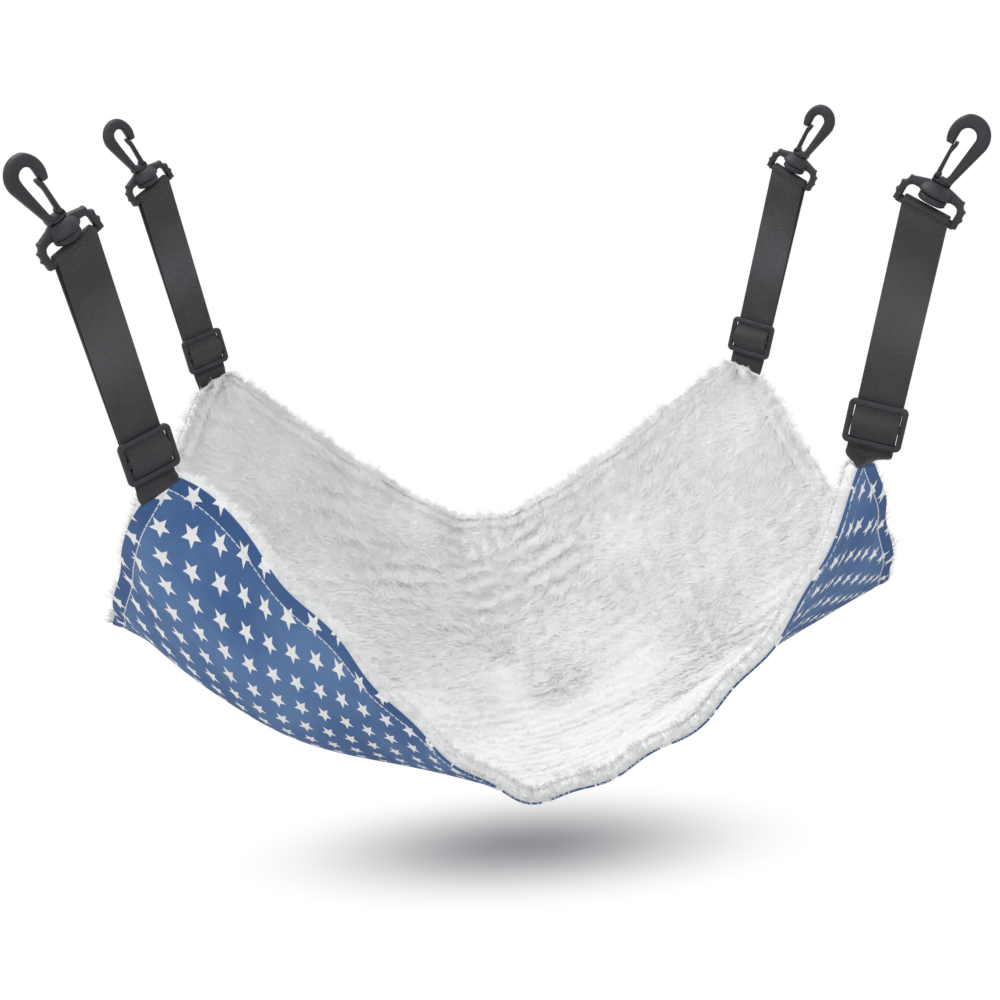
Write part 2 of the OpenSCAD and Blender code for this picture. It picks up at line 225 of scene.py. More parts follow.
starPrint = {
    "spacing": 16, "rows": 15.6, "turn": -22.0, "tip": 5.5, "notch": 2.4, "inkEdge": (-0.12, 0.18),
    "weave": 0.42, "hemShade": 0.7, "hemEdge": 1.2,
    "blue": colour(79, 116, 170), "deepBlue": colour(59, 91, 143), "paleBlue": colour(112, 145, 189),
    "white": colour(249, 250, 252),
}


# Printed cloth: stars on a turned grid of the flat cloth. A point's angle is folded into a tenth of a turn,
# and it is inside the star on the near side of the line from a tip to a notch
def starMaterial():
    f = Finish("starCloth")
    across, along = f.parts(f.uv())
    turn = math.radians(starPrint["turn"])
    c, s = math.cos(turn), math.sin(turn)
    p = (across * c + along * s) * 1000
    q = (along * c - across * s) * 1000
    px = ((p / starPrint["spacing"]) % 1.0 - 0.5) * starPrint["spacing"]
    py = ((q / starPrint["rows"]) % 1.0 - 0.5) * starPrint["rows"]
    far = (px * px + py * py) ** 0.5
    fifth, tenth = 2 * math.pi / 5, math.pi / 5
    fold = ((px.maths("ARCTAN2", py) + tenth) % fifth - tenth).maths("ABSOLUTE")
    tip = starPrint["tip"]
    nx, ny = starPrint["notch"] * math.cos(tenth), starPrint["notch"] * math.sin(tenth)
    side = fold.maths("SINE") * far * (nx - tip) - (fold.maths("COSINE") * far - tip) * ny
    side = side * (1 / math.hypot(nx - tip, ny))
    star = side.ramp(*starPrint["inkEdge"])
    threads = 2 * math.pi / starPrint["weave"]
    weft = (across * 1000 * threads).maths("SINE") * (along * 1000 * threads).maths("SINE")
    large = f.noise(f.uv(), 16.0, 4.0)
    fine = f.noise(f.uv(), 900.0, 2.0)
    blue = f.blend(large.ramp(0.35, 0.7), starPrint["deepBlue"], starPrint["paleBlue"])
    blue = f.blend(0.5, blue, starPrint["blue"])
    blue = f.blend(fine.ramp(0.45, 0.8) * 0.24, blue, starPrint["paleBlue"])
    # two layers of cloth lie in the hem, and the band outside its stitches is painted a deeper blue: painted
    # shade of the folded hem
    sideGap, endGap = halfLength - across.maths("ABSOLUTE") * 1000, halfWidth - along.maths("ABSOLUTE") * 1000
    inset = sideGap.maths("MINIMUM", endGap)
    inside = inset.ramp(thread["inset"] - starPrint["hemEdge"], thread["inset"])
    blue = f.blend((1 - inside) * starPrint["hemShade"], blue, starPrint["deepBlue"])
    ink = f.blend(fine.ramp(0.55, 0.85) * 0.14, starPrint["white"], starPrint["paleBlue"])
    height = weft * 0.5 + fine * 0.6 + star * 0.5
    return f.surface({
        "Base Color": f.blend(star, blue, ink), "Roughness": 0.86 - star * 0.12,
        "Normal": f.bump(height, 0.00009), "Sheen Weight": 0.06, "Sheen Roughness": 0.5,
        "Specular IOR Level": 0.16,
    })


plush = {"tip": colour(246, 247, 247), "root": colour(238, 239, 240), "backing": colour(240, 241, 241)}


# Pile: paler towards the tip, along the blade's own length
def pileMaterial():
    f = Finish("plushPile")
    along = f.parts(f.uv())[1]
    return f.surface({
        "Base Color": f.blend(along.ramp(0.0, 0.9), plush["root"], plush["tip"]), "Roughness": 0.95,
        "Specular IOR Level": 0.12, "Sheen Weight": 0.15, "Sheen Roughness": 0.6,
    })


# Knitted backing under the pile
def backingMaterial():
    f = Finish("plushBacking")
    lumps = f.noise(f.uv(), 260.0, 4.0)
    return f.surface({
        "Base Color": f.blend(lumps.ramp(0.3, 0.7), plush["root"], plush["backing"]), "Roughness": 0.95,
        "Normal": f.bump(lumps, 0.0012), "Specular IOR Level": 0.1,
    })


webbing = {
    "dark": colour(36, 36, 39), "pale": colour(86, 86, 91),
    "rib": 1.25, "cord": 1.6, "paintedSheenMiddle": 86, "paintedSheenReach": 38,
}


# Webbing: ribs across the strap, in columns that are shifted by half a rib, and a painted sheen that makes it
# paler about the middle of its length
def webbingMaterial():
    f = Finish("strapWebbing")
    across, along = f.parts(f.uv())
    column = (across * 1000 / webbing["cord"]).maths("FLOOR")
    turn = 2 * math.pi
    ribs = (along * (1000 * turn / webbing["rib"]) + (column % 2.0) * math.pi).maths("SINE")
    cords = (across * (1000 * turn / webbing["cord"])).maths("COSINE")
    fine = f.noise(f.uv(), 1800.0, 2.0)
    cloudy = f.noise(f.uv(), 34.0, 3.0)
    height = ribs * 0.5 - cords * 0.35 + fine * 0.5
    # painted sheen: the strap is paler about one place along its length, standing in for a soft reflection
    far = (along * 1000 - webbing["paintedSheenMiddle"]) / webbing["paintedSheenReach"]
    wearAndSheen = 1 - far.maths("ABSOLUTE").ramp(0.0, 1.0)
    tone = (ribs * 0.14 + 0.36 + wearAndSheen * 0.3 + (cloudy - 0.5) * 0.4 + (fine - 0.5) * 0.12).ramp(0.0, 1.0)
    return f.surface({
        "Base Color": f.blend(tone, webbing["dark"], webbing["pale"]), "Roughness": 0.5 + cloudy * 0.16,
        "Normal": f.bump(height, 0.0001), "Sheen Weight": 0.15, "Sheen Roughness": 0.4,
        "Specular IOR Level": 0.35,
    })


plastic = {"body": colour(36, 39, 44), "wearAndSheen": colour(70, 75, 83)}


# Moulded plastic: fine spark grain, faint flow clouds and paler rubbed patches
def plasticMaterial():
    f = Finish("mouldedPlastic")
    place = f.place()
    grain = f.noise(place, 2600.0, 2.0)
    flow = f.noise(place, 90.0, 4.0)
    rub = f.noise(place, 420.0, 5.0, 0.65)
    wearAndSheen = rub.ramp(0.56, 0.78) * 0.45 + flow.ramp(0.35, 0.75) * 0.25
    return f.surface({
        "Base Color": f.blend(wearAndSheen, plastic["body"], plastic["wearAndSheen"]),
        "Roughness": 0.42 + flow * 0.14 + grain * 0.08,
        "Normal": f.bump(grain, 0.00006), "Specular IOR Level": 0.5,
    })


ply = {"dark": colour(206, 212, 222), "pale": colour(246, 248, 250), "along": 26.0, "around": 6.28}


# Sewing thread: twisted plies along each stitch
def threadMaterial():
    f = Finish("hemThread")
    across, along = f.parts(f.uv())
    twist = (along * ply["along"] + across * ply["around"]).maths("SINE")
    return f.surface({
        "Base Color": f.blend(twist.ramp(-0.9, 0.6), ply["dark"], ply["pale"]), "Roughness": 0.7,
        "Normal": f.bump(twist, 0.00006),
    })


starFinish, pileFinish, backingFinish = starMaterial(), pileMaterial(), backingMaterial()
webbingFinish, plasticFinish, threadFinish = webbingMaterial(), plasticMaterial(), threadMaterial()
print("finishes made")


# A mesh object from points in millimetres, faces of one size and a flat place for each point. Points in a
# corner's frame are turned and moved into place, and the faces of a mirrored corner are turned over
def makePiece(name, points, faces, flat, finish, body, node=None, frameOf=None):
    if frameOf:
        origin, turn, mirrored = frameOf
        points, faces = origin + points @ turn.T, faces[:, ::-1] if mirrored else faces
    faces = np.ascontiguousarray(faces)
    mesh = bpy.data.meshes.new(name)
    mesh.vertices.add(len(points))
    mesh.vertices.foreach_set("co", (points * mm).astype(np.float32).ravel())
    mesh.loops.add(faces.size)
    mesh.loops.foreach_set("vertex_index", faces.astype(np.int32).ravel())
    mesh.polygons.add(len(faces))
    mesh.polygons.foreach_set("loop_start", np.arange(0, faces.size, faces.shape[1], dtype=np.int32))
    mesh.update(calc_edges=True)
    mesh.polygons.foreach_set("use_smooth", np.ones(len(faces), bool))
    layer = mesh.uv_layers.new(name="flat")
    layer.data.foreach_set("uv", flat[faces.ravel()].astype(np.float32).ravel())
    mesh.materials.append(finish)
    piece = bpy.data.objects.new(name, mesh)
    bpy.context.scene.collection.objects.link(piece)
    if body:
        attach(piece, body)
    if node:
        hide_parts(node)
    return piece


# Quads of a grid of rows by columns, which closes on itself along its columns if asked
def gridFaces(rows, columns, closed=True):
    i, j = np.meshgrid(np.arange(rows - 1), np.arange(columns if closed else columns - 1), indexing="ij")
    a, b = i * columns + j, i * columns + (j + 1) % columns
    return np.stack([a, b, b + columns, a + columns], -1).reshape(-1, 4)


# Flat places of a grid, u along its columns and v along its rows, for each of several copies
def gridPlaces(u, v, copies=1):
    return np.tile(np.stack(np.meshgrid(u, v), -1).reshape(-1, 2), (copies, 1))


# Angles of a full turn in equal steps
def fullTurn(steps):
    return np.linspace(0, 2 * np.pi, steps, endpoint=False)


# Height that rises from 0 at the middle to 1 at the edge, rounded at the middle
def rounded(t):
    e = cloth["bellyRound"]
    return (np.sqrt(t * t + e * e) - e) / (np.sqrt(1 + e * e) - e)


# Waves along the edges that die out inwards, pleats that run from the corners towards the middle,
# and a shallow groove along the hem's stitches
def ripples(x, y):
    sideGap, endGap = halfLength - np.abs(x), halfWidth - np.abs(y)
    waves = 0
    for gap, run, across, kinds in ((endGap, x, y, cloth["endWaves"]), (sideGap, y, x, cloth["sideWaves"])):
        sines = sum(size * np.sin(run / length + np.sign(across) * phase) for length, phase, size in kinds)
        waves = waves + np.exp(-gap / cloth["rippleReach"]) * sines
    calm = np.clip((sideGap + endGap) / cloth["calmReach"], 0, 1)
    far = np.hypot(sideGap, endGap)
    spread = np.arctan2(sideGap, endGap + 1e-6)
    pleats = np.cos(spread * cloth["pleats"]) * far / cloth["pleatRise"] * np.exp(-far / cloth["pleatReach"])
    seam = np.exp(-((np.minimum(sideGap, endGap) - thread["inset"]) / cloth["seamWidth"]) ** 2)
    return calm * (cloth["rippleDepth"] * waves + cloth["pleatDepth"] * pleats) + cloth["seamDepth"] * seam


# Number of the corner whose quarter of the cloth a point lies in
def cornerOf(x, y):
    return (x > 0).astype(int) + 2 * (y > 0).astype(int)


# Place of a point of the flat cloth when it hangs: rising to the edges and corners, leaning in at the
# corners, sunk in the pouches and dropped along the front edge
def plainHang(x, y):
    u, v = x / halfLength, y / halfWidth
    a, b = np.abs(u), np.abs(v)
    k = cornerOf(x, y)
    end = np.where(y < 0, cloth["frontHeight"], cloth["backHeight"])
    upU, upV = rounded(u), rounded(v)
    top = cloth["cornerHeight"] + np.array(cloth["cornerRises"])[k] - cloth["sideHeight"] - end
    drop = np.array(cloth["drops"])[k] * np.sin(np.pi * a ** cloth["dropPowerX"]) * b ** cloth["dropPowerY"]
    bowl = np.sin(np.pi * a ** cloth["pouchPowerX"]) * np.sin(np.pi * b ** cloth["pouchPowerY"])
    sink = np.array(cloth["pouches"])[k] * bowl
    wideX = cloth["gapX"] / 2 + cloth["sideLean"] * (1 - b ** cloth["leanPower"])
    wideY = cloth["gapY"] / 2 + cloth["endLean"] * (1 - a ** cloth["leanPower"])
    return np.stack([
        u * wideX + np.sign(u) * cloth["dropOut"] * drop,
        v * wideY + np.sign(v) * cloth["dropOut"] * drop,
        cloth["fabricThick"] + cloth["sideHeight"] * upU + end * upV + top * upU * upV - drop - sink], -1)


# Seams in the middle of the cut corners, and the direction of each strap from there
flatSeams = np.c_[sideX * (halfLength - cloth["cutX"] / 2), sideY * (halfWidth - cloth["cutY"] / 2)]
seams = plainHang(flatSeams[:, 0], flatSeams[:, 1])
lean, tip = np.radians(strap["leans"]), np.radians(strap["tips"])
strapWays = np.c_[sideX * np.sin(lean) * np.cos(tip), np.sin(tip), np.cos(lean) * np.cos(tip)]


# The hanging cloth with its corners twisted about their straps, less and less away from the corner
def smoothHang(x, y):
    k = cornerOf(x, y)
    far = np.hypot(halfLength - np.abs(x), halfWidth - np.abs(y)) / cloth["twistReach"]
    t = np.radians(sideX[k] * np.array(cloth["twists"])[k] * np.exp(-far ** 2))[..., None]
    arm, axis = plainHang(x, y) - seams[k], strapWays[k]
    along = axis * (axis * arm).sum(-1, keepdims=True)
    return seams[k] + along + (arm - along) * np.cos(t) + np.cross(axis, arm) * np.sin(t)


# Upward normal of a hanging surface, from two short steps on the flat cloth
def normalOf(surface, x, y):
    alongX = surface(x + flatStep, y) - surface(x - flatStep, y)
    alongY = surface(x, y + flatStep) - surface(x, y - flatStep)
    return unit(np.cross(alongX, alongY))


# The hanging cloth with its ripples, which lift it along the smooth normal
def hang(x, y):
    return smoothHang(x, y) + ripples(x, y)[..., None] * normalOf(smoothHang, x, y)


# Flat grid of the cloth, finer along its edges: in each corner the points are drawn in to the slanting cut
def flatGrid():
    def lines(half, cut):
        band = cloth["edgeBand"]
        inner = half - cut - band
        parts = [
            np.linspace(0, inner, int(round(inner / cloth["step"])) + 1),
            np.linspace(inner, half - cut, int(round(band / cloth["edgeStep"])) + 1)[1:],
            np.linspace(half - cut, half, int(round(cut / cloth["edgeStep"])) + 1)[1:]]
        side = np.concatenate(parts)
        return np.r_[-side[:0:-1], side]

    cutX, cutY = cloth["cutX"], cloth["cutY"]
    x, y = np.meshgrid(lines(halfLength, cutX), lines(halfWidth, cutY))
    p = np.maximum(np.abs(x) - cutStartX, 0) / cutX
    q = np.maximum(np.abs(y) - cutStartY, 0) / cutY
    shrink = np.where((p > 0) & (q > 0), np.maximum(p, q) / np.maximum(p + q, 1e-9), 1.0)
    x = np.where(p > 0, np.sign(x) * (cutStartX + p * shrink * cutX), x)
    y = np.where(q > 0, np.sign(y) * (cutStartY + q * shrink * cutY), y)
    return x, y


# Extra thickness of the lining's puffed edge, which dies out inwards
def edgeRoll(x, y):
    near = np.minimum(halfLength - np.abs(x), halfWidth - np.abs(y))
    return cloth["rollHeight"] * np.exp(-((near - cloth["rollInset"]) / cloth["rollReach"]) ** 2)


# A closed sheet between two distances from the seam face, with a rim that is rounded by one row of points
def makeSheet(name, low, high, finish, node, roll=0.0):
    x, y = flatGrid()
    rows, columns = x.shape
    face, up = hang(x, y), normalOf(hang, x, y)
    lower = (face + low * up).reshape(-1, 3)
    upper = (face + (high + roll * edgeRoll(x, y))[..., None] * up).reshape(-1, 3)
    count = rows * columns
    index = np.arange(count).reshape(rows, columns)
    rim = np.r_[index[0, :-1], index[:-1, -1], index[-1, :0:-1], index[:0:-1, 0]]
    middle = (lower[rim] + upper[rim]) / 2
    flat = np.stack([x, y], -1).reshape(-1, 2)
    # outward at the rim is the way from a place just inside it
    insideX, insideY = (flat[rim] * 0.985).T
    outward = middle - (hang(insideX, insideY) + (low + high) / 2 * up.reshape(-1, 3)[rim])
    middle = middle + unit(outward) * (high - low) * cloth["bulge"]
    points = np.r_[lower, upper, middle]
    quads = gridFaces(rows, columns, False)
    edge = 2 * count + np.arange(len(rim))
    nextRim, nextEdge = np.roll(rim, -1), np.roll(edge, -1)
    walls = np.r_[np.c_[rim, nextRim, nextEdge, edge], np.c_[edge, nextEdge, count + nextRim, count + rim]]
    faces = np.r_[quads[:, ::-1], quads + count, walls]
    flat = np.r_[flat, flat, flat[rim]] * mm
    return makePiece(name, points, faces, flat, finish, "hammock", node)


outerCloth = makeSheet("outerCloth", -cloth["fabricThick"], 0, starFinish, "outer_fabric")
lining = makeSheet("plushBacking", cloth["layerGap"], cloth["liningThick"], backingFinish,
                   "plush_lining", 1.0)
print("cloth layers hung")


blade = {"levels": (0, 0.55, 1), "girths": (1, 0.82, 0.1), "bendPower": 1.6}
pile = {
    "blades": 280000, "patches": 8, "length": 4.6, "lengths": (0.78, 1.14), "rootLift": 4.8, "width": 0.55,
    "nap": 0.95, "naps": (0.88, 1.04), "leastRise": 0.2, "combMiddle": (0, 70), "combStray": 0.3,
    "swirl": 0.5, "swirlReach": 90, "tuft": 15.0, "tuftRise": 0.08, "gather": 0.25, "tuftTilt": 0.14,
    "askew": 0.45, "soft": 0.85, "seed": 7,
}
fringe = {
    "blades": 22000, "edgeShare": 0.5, "edgeInset": 0.3, "band": 8, "sink": 0.3,
    "length": 6.4, "lengths": (0.45, 1.0), "width": 0.36, "askew": 0.4,
    "tuft": 9, "tuftWidths": (0.4, 1.6), "tuftLengths": (0.7, 1.25), "sideLength": 0.66, "middleLength": 0.44,
    "gather": 0.22, "sway": 0.16, "fan": (-12, 62), "stand": (32, 66), "stray": 11, "cornerFan": 25,
    "droop": 0.16, "open": 0.9, "lift": 0.5, "faceShare": 0.4, "soft": 0.85, "apart": 0.04, "seed": 41,
}


# Smooth random field, a sum of waves of about one length: its value and its slopes in X and Y, each about 1
def softField(x, y, length, seed):
    rng = np.random.default_rng(seed)
    count = 18
    turns, phases = rng.uniform(0, 2 * np.pi, count), rng.uniform(0, 2 * np.pi, count)
    value, slopeX, slopeY = np.zeros((3, *x.shape))
    for turn, phase, size in zip(turns, phases, rng.uniform(0.7, 1.5, count)):
        c, s = math.cos(turn), math.sin(turn)
        wave = (x * c + y * s) * (2 * math.pi / length / size) + phase
        value += np.cos(wave) / 3
        slopeX -= np.sin(wave) * c / 2
        slopeY -= np.sin(wave) * s / 2
    return value, slopeX, slopeY


# Thin tapered blades: each rises along up, bends along bend by a power of its length and is wide along wide.
# Each faces the way toward, and its shading mixes its own normal with the given one, to look soft
def makeBlades(name, root, up, rise, bend, wide, width, shade, share, toward):
    n = len(root)
    t = np.array(blade["levels"], float)
    girth = np.array(blade["girths"]) * width / 2
    rising = t[None, :, None] * (rise[:, None] * up)[:, None]
    bending = (t ** blade["bendPower"])[None, :, None] * bend[:, None]
    centre = root[:, None] + rising + bending
    spread = girth[None, :, None] * wide[:, None]
    points = np.stack([centre - spread, centre + spread], 2).reshape(-1, 3)
    step = np.arange(len(t) - 1)
    quad = np.c_[2 * step, 2 * step + 1, 2 * step + 3, 2 * step + 2]
    own = unit(np.cross(wide, rise[:, None] * up + bend))
    side = np.where((own * toward).sum(1) < 0, -1.0, 1.0)
    # a blade that would face away is wound the other way round
    order = np.where(side[:, None, None] < 0, quad[None, :, ::-1], quad[None])
    faces = (np.arange(n)[:, None, None] * 2 * len(t) + order).reshape(-1, 4)
    flat = gridPlaces([0.0, 1.0], t, n)
    piece = makePiece(name, points, faces, flat, pileFinish, "hammock", "plush_lining")
    soft = unit(share * shade + (1 - share) * side[:, None] * own)
    piece.data.normals_split_custom_set_from_vertices(np.repeat(soft, 2 * len(t), 0))
    return piece


# Directions on the lining: upward, along X and along Y of the flat cloth
def liningFrame(x, y):
    up = normalOf(hang, x, y)
    alongX = smoothHang(x + flatStep, y) - smoothHang(x - flatStep, y)
    alongX = unit(alongX - up * (alongX * up).sum(1, keepdims=True))
    return up, alongX, np.cross(up, alongX)


# Pile over one band of the lining: it is combed towards one place with slow swirls and gathers in soft tufts
def makePile(number):
    rng = np.random.default_rng(pile["seed"] + number)
    first, last = np.linspace(-halfLength, halfLength, pile["patches"] + 1)[number:number + 2]
    count = pile["blades"] // pile["patches"]
    x, y = rng.uniform(first, last, count), rng.uniform(-halfWidth, halfWidth, count)
    keep = (halfLength - np.abs(x)) / cloth["cutX"] + (halfWidth - np.abs(y)) / cloth["cutY"] > 1
    x, y = x[keep], y[keep]
    n = len(x)
    up, alongX, alongY = liningFrame(x, y)
    level, gatherX, gatherY = softField(x, y, pile["tuft"], pile["seed"])
    swirl = pile["swirl"] * softField(x, y, pile["swirlReach"], pile["seed"] + 1)[0]
    combX, combY = pile["combMiddle"]
    angle = np.arctan2(combY - y, combX - x) + swirl + rng.normal(0, pile["combStray"], n)
    length = pile["length"] * rng.uniform(*pile["lengths"], n) * (1 + pile["tuftRise"] * level)
    lying = length * pile["nap"] * rng.uniform(*pile["naps"], n)
    bendX = pile["gather"] * gatherX + lying * np.cos(angle)
    bendY = pile["gather"] * gatherY + lying * np.sin(angle)
    rise = np.sqrt(np.maximum(length ** 2 - bendX ** 2 - bendY ** 2, (pile["leastRise"] * length) ** 2))
    shade = unit(up + pile["tuftTilt"] * (gatherX[:, None] * alongX + gatherY[:, None] * alongY))
    askew = rng.normal(0, pile["askew"], n) + np.arctan2(bendX, -bendY)
    wide = np.cos(askew)[:, None] * alongX + np.sin(askew)[:, None] * alongY
    root = hang(x, y) + (pile["rootLift"] + edgeRoll(x, y))[:, None] * up
    bend = bendX[:, None] * alongX + bendY[:, None] * alongY
    name = f"plushPile{number + 1}"
    return makeBlades(name, root, up, rise, bend, wide, pile["width"], shade, pile["soft"], shade)


# Fringe along the rim, in soft tufts: some blades fan out from the lining's rounded edge, the others stand
# along its top and lean out. Each blade is two, a hair apart and back to back, so that both its sides are lit
def makeFringe():
    rng = np.random.default_rng(fringe["seed"])
    endX, endY, n = cutStartX, cutStartY, fringe["blades"]
    outline = np.array([[-endX, -halfWidth], [endX, -halfWidth], [halfLength, -endY], [halfLength, endY],
                        [endX, halfWidth], [-endX, halfWidth], [-halfLength, endY], [-halfLength, -endY]])
    sides = np.roll(outline, -1, 0) - outline
    lengths = np.linalg.norm(sides, axis=1)
    reach = np.r_[0, np.cumsum(lengths)]
    place = rng.uniform(0, reach[-1], n)
    side = np.searchsorted(reach, place, "right") - 1
    along = sides[side] / lengths[side][:, None]
    flat = outline[side] + along * (place - reach[side])[:, None]
    outward = np.c_[along[:, 1], -along[:, 0]]
    # every second side is a cut corner: a strap's tab leaves there, so its blades stand more upright
    corner = side % 2 == 1
    edge = (rng.uniform(0, 1, n) < fringe["edgeShare"]) & ~corner
    inset = np.where(edge, fringe["edgeInset"], fringe["band"] * rng.uniform(0.05, 1, n) ** 2)
    x, y = (flat - inset[:, None] * outward).T
    up, alongX, alongY = liningFrame(x, y)
    out3 = outward[:, :1] * alongX + outward[:, 1:] * alongY
    along3 = along[:, :1] * alongX + along[:, 1:] * alongY
    # tufts of uneven width along the rim: each blade leans to its tuft's middle and is longest there
    widths = fringe["tuft"] * rng.uniform(*fringe["tuftWidths"], int(2.5 * reach[-1] / fringe["tuft"]))
    starts = np.r_[0, np.cumsum(widths)]
    tuft = np.searchsorted(starts, place, "right") - 1
    middle, half = (starts[tuft] + starts[tuft + 1]) / 2, widths[tuft] / 2
    nearness = 1 - np.abs(place - middle) / half
    length = fringe["length"] * rng.uniform(*fringe["lengths"], n)
    length = length * (fringe["sideLength"] + fringe["middleLength"] * nearness)
    length = length * rng.uniform(*fringe["tuftLengths"], len(starts))[tuft]
    level = np.where(edge, rng.uniform(0.08, 1, n), 1.0)
    low, high = fringe["fan"]
    fan = np.where(edge, low + (high - low) * level, rng.uniform(*fringe["stand"], n))
    fan = np.radians(fan + fringe["cornerFan"] * corner + rng.normal(0, fringe["stray"], n))
    bulge = np.where(edge, cloth["bulge"] * cloth["liningThick"] * (1 - (2 * level - 1) ** 2), 0)
    lift = level * (cloth["liningThick"] + edgeRoll(x, y)) - fringe["sink"]
    root = hang(x, y) + lift[:, None] * up + bulge[:, None] * out3
    lean = (middle - place) * fringe["gather"] + length * rng.normal(0, fringe["sway"], n)
    bend = (length * np.cos(fan))[:, None] * out3 + lean[:, None] * along3
    bend[:, 2] -= fringe["droop"] * length
    wide = unit(along3 + fringe["askew"] * rng.normal(0, 1, n)[:, None] * up)
    pieces = []
    # the outer faces are shaded as the fringe's open side, the inner ones as the lining
    for name, face, opening in (("plushFringeOuter", 1, out3), ("plushFringeInner", -1, up)):
        toward = face * (np.sin(fan)[:, None] * out3 - np.cos(fan)[:, None] * up)
        shade = fringe["faceShare"] * toward + fringe["open"] * opening
        shade = unit(shade + np.array([0, 0, fringe["lift"]]))
        pieces.append(makeBlades(name, root + fringe["apart"] * toward, up, length * np.sin(fan), bend, wide,
                                 fringe["width"], shade, fringe["soft"], toward))
    return pieces


pilePatches = makeFringe() + [makePile(number) for number in range(pile["patches"])]
print("pile made:", pile["blades"] + fringe["blades"], "blades")


# Hem stitches: short round-ended rods laid end to end along a line inside each edge, on the outer cloth
def makeStitches(name, start, end):
    start, end = np.array(start, float), np.array(end, float)
    length = np.linalg.norm(end - start)
    way = (end - start) / length
    pitch = thread["stitch"] + thread["gap"]
    count = int(length // pitch)
    head = (np.arange(count) + 0.5 * (length / pitch - count)) * pitch
    t = np.array([0.0, 0.08, 0.3, 0.7, 0.92, 1.0])
    girth = np.array([0.3, 0.8, 1.0, 1.0, 0.8, 0.3]) * thread["radius"]
    arch = np.array([-0.9, -0.2, 0.35, 0.35, -0.2, -0.9]) * thread["radius"]
    places = head[:, None] + t[None] * thread["stitch"]
    flat = start + way * places[..., None]
    x, y = flat[..., 0], flat[..., 1]
    down = -normalOf(hang, x, y)
    ahead = hang(x + way[0], y + way[1]) - hang(x, y)
    across = unit(np.cross(down, ahead))
    middle = hang(x, y) + (cloth["fabricThick"] + arch + thread["sink"])[..., None] * down
    turn = fullTurn(thread["sides"])[None, None, :, None]
    around = np.cos(turn) * across[:, :, None] + np.sin(turn) * down[:, :, None]
    points = middle[:, :, None] + girth[None, :, None, None] * around
    levels, sides = len(t), thread["sides"]
    tube = gridFaces(levels, sides)
    caps = np.array([[0, 1, 2, 3], [0, 3, 4, 5]])
    capped = np.r_[tube, caps[:, ::-1], caps + (levels - 1) * sides]
    faces = (np.arange(count)[:, None, None] * levels * sides + capped[None]).reshape(-1, 4)
    flat = gridPlaces(np.linspace(0, 1, sides), t, count)
    return makePiece(name, points.reshape(-1, 3), faces, flat, threadFinish, "hammock")


inX, inY = halfLength - thread["inset"], halfWidth - thread["inset"]
# a line inside one edge ends at the slanting cut
endX = halfLength - cloth["cutX"] * (1 - thread["inset"] / cloth["cutY"])
endY = halfWidth - cloth["cutY"] * (1 - thread["inset"] / cloth["cutX"])
hemThreads = [
    makeStitches("hemThreadFront", (-endX, -inY), (endX, -inY)),
    makeStitches("hemThreadBack", (endX, inY), (-endX, inY)),
    makeStitches("hemThreadLeft", (-inX, endY), (-inX, -endY)),
    makeStitches("hemThreadRight", (inX, -endY), (inX, endY)),
]
print("hems stitched")


slider = {"height": 25, "thick": 3.2, "outerBar": 3.4, "centreBar": 4.4, "side": 3.2,
          "slotGap": 0.4, "gap": 3, "round": 3.4, "slotRound": 0.9}
ring = {
    "barRadius": 2.2, "thick": 5.4, "leg": 3.8, "window": 9.4, "top": 6.6, "boss": 9.6, "bossTop": 6,
    "lean": 17, "legGap": 1.3, "boreGap": 0.06,
    "knuckle": 1.0, "knuckles": (0.2, 0.38, 0.56), "knuckleReach": 0.036,
}
hook = {
    "stem": 3, "head": 7.6, "headHeight": 4.4, "collar": 4.5, "collarHeight": 1.2, "thick": 6.4,
    "eye": 4.4, "wall": 7, "eyeLength": 21.2, "foot": 1.8, "baseHeight": 3.2, "baseWidth": 10.5,
    "nose": 6.4, "noseEnd": 4,
    "gateThick": 2, "gateWidth": 5, "root": 1.6, "turnGap": 0.3, "gateGap": 0.2,
}

foldZ = strap["tab"]
sliderZ = foldZ + slider["gap"] + slider["height"] / 2
barZ = foldZ + strap["length"]
barY = strap["thick"] / 2 + strap["wrapGap"] + ring["barRadius"]
loopWidth = strap["width"] / math.cos(math.radians(ring["lean"]))


# Frame of a strap: its origin at the seam, X across the webbing, Z along it, and whether it is mirrored
def strapFrame(k):
    turn = turned("Y", strap["leans"][k]) @ turned("X", -strap["tips"][k]) @ turned("Z", -strap["turns"][k])
    return seams[k], np.diag([sideX[k], 1.0, 1.0]) @ turn, bool(sideX[k] < 0)


# Frame of a ring and its hook: its origin at the middle of the bar, X along the bar, Z to the hook
def ringFrame(k):
    seam, turn, mirrored = strapFrame(k)
    return seam + turn @ np.array([0, barY, barZ]), turn @ turned("Y", ring["lean"]), mirrored


# Outline of webbing cut across: two flats and two round edges, as shares across and along its thickness
def webbingOutline(width, thick, flats=8, bends=6):
    half = width / 2 - thick / 2
    turn = np.linspace(-np.pi / 2, np.pi / 2, bends + 1)
    top = np.c_[np.linspace(-half, half, flats + 1)[:-1], np.full(flats, thick / 2)]
    right = np.c_[half + thick / 2 * np.cos(turn[::-1]), thick / 2 * np.sin(turn[::-1])][:-1]
    return np.r_[top, right, -top, -right]


